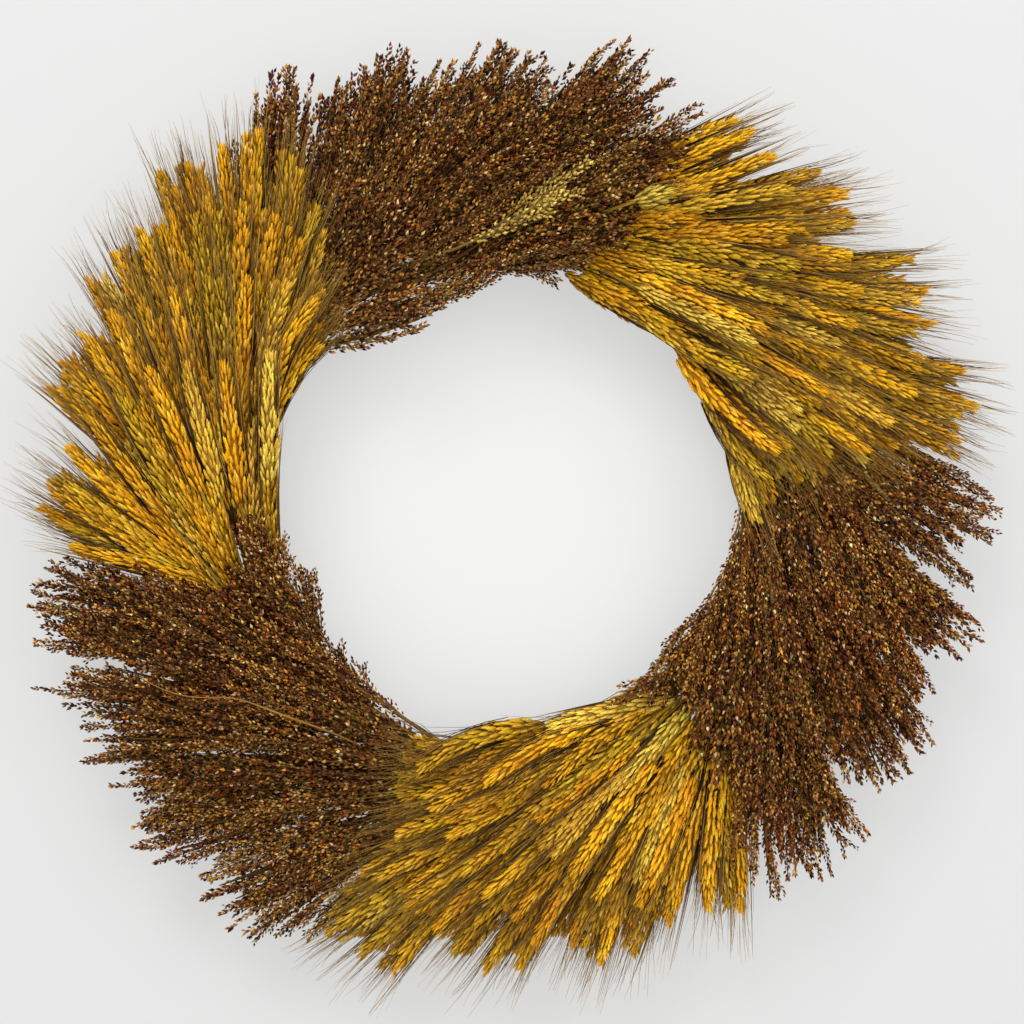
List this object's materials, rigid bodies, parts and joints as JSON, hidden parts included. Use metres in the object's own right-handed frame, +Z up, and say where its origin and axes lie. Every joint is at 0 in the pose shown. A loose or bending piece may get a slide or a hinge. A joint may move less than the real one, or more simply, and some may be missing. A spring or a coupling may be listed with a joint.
{
  "type": "harvest door wreath",
  "caption": "Round door wreath of dried bearded wheat and broomcorn bunches, bound in alternating swirling sections on a wire frame with a swinging wire hanger loop.",
  "frame": {"origin": "centre of the ring, on the plane that lies against the door", "axes": "+Z up as hung, -Y out of the front of the wreath, +X to the right as seen from the front"},
  "size_m": [0.5864, 0.0834, 0.584],
  "materials": {
    "frame_wire": "satin dark green enamel",
    "tie_wire": "satin olive enamel",
    "paddle_wire": "satin green enamel",
    "hanger_wire": "bright drawn wire",
    "hanger_sleeve": "satin tube",
    "wheat": "dry golden straw, satin husks",
    "broomcorn": "dry matt brown seed heads with tan husks"
  },
  "bodies": {
    "wreath": {"frame_rail_inner": "frame_wire", "frame_rail_mid_inner": "frame_wire", "frame_rail_mid_outer": "frame_wire", "frame_rail_outer": "frame_wire", "frame_cross_braces": "frame_wire", "wheat_left_bunch_1": "wheat", "wheat_left_bunch_2": "wheat", "wheat_left_bunch_3": "wheat", "wheat_left_bunch_4": "wheat", "broomcorn_top_bunch_1": "broomcorn", "broomcorn_top_bunch_2": "broomcorn", "broomcorn_top_bunch_3": "broomcorn", "broomcorn_top_bunch_4": "broomcorn", "wheat_right_bunch_1": "wheat", "wheat_right_bunch_2": "wheat", "wheat_right_bunch_3": "wheat", "wheat_right_bunch_4": "wheat", "broomcorn_right_bunch_1": "broomcorn", "broomcorn_right_bunch_2": "broomcorn", "broomcorn_right_bunch_3": "broomcorn", "broomcorn_right_bunch_4": "broomcorn", "wheat_bottom_bunch_1": "wheat", "wheat_bottom_bunch_2": "wheat", "wheat_bottom_bunch_3": "wheat", "wheat_bottom_bunch_4": "wheat", "broomcorn_left_bunch_1": "broomcorn", "broomcorn_left_bunch_2": "broomcorn", "broomcorn_left_bunch_3": "broomcorn", "broomcorn_left_bunch_4": "broomcorn", "bunch_ties_wheat_left": "tie_wire", "bunch_ties_broomcorn_top": "tie_wire", "bunch_ties_wheat_right": "tie_wire", "bunch_ties_broomcorn_right": "tie_wire", "bunch_ties_wheat_bottom": "tie_wire", "bunch_ties_broomcorn_left": "tie_wire", "paddle_wire_wheat_left": "paddle_wire", "paddle_wire_broomcorn_top": "paddle_wire", "paddle_wire_wheat_right": "paddle_wire", "paddle_wire_broomcorn_right": "paddle_wire", "paddle_wire_wheat_bottom": "paddle_wire", "paddle_wire_broomcorn_left": "paddle_wire", "hanger_sleeve": "hanger_sleeve"},
    "hanger": {"hanger_loop": "hanger_wire"}
  },
  "joints": [
    {"name": "hanger_swing", "type": "hinge", "parent": "wreath", "child": "hanger", "pos_m": [0, -0.015, 0.203], "axis": [-1, 0, 0], "range_deg": [0, 100]}
  ]
}
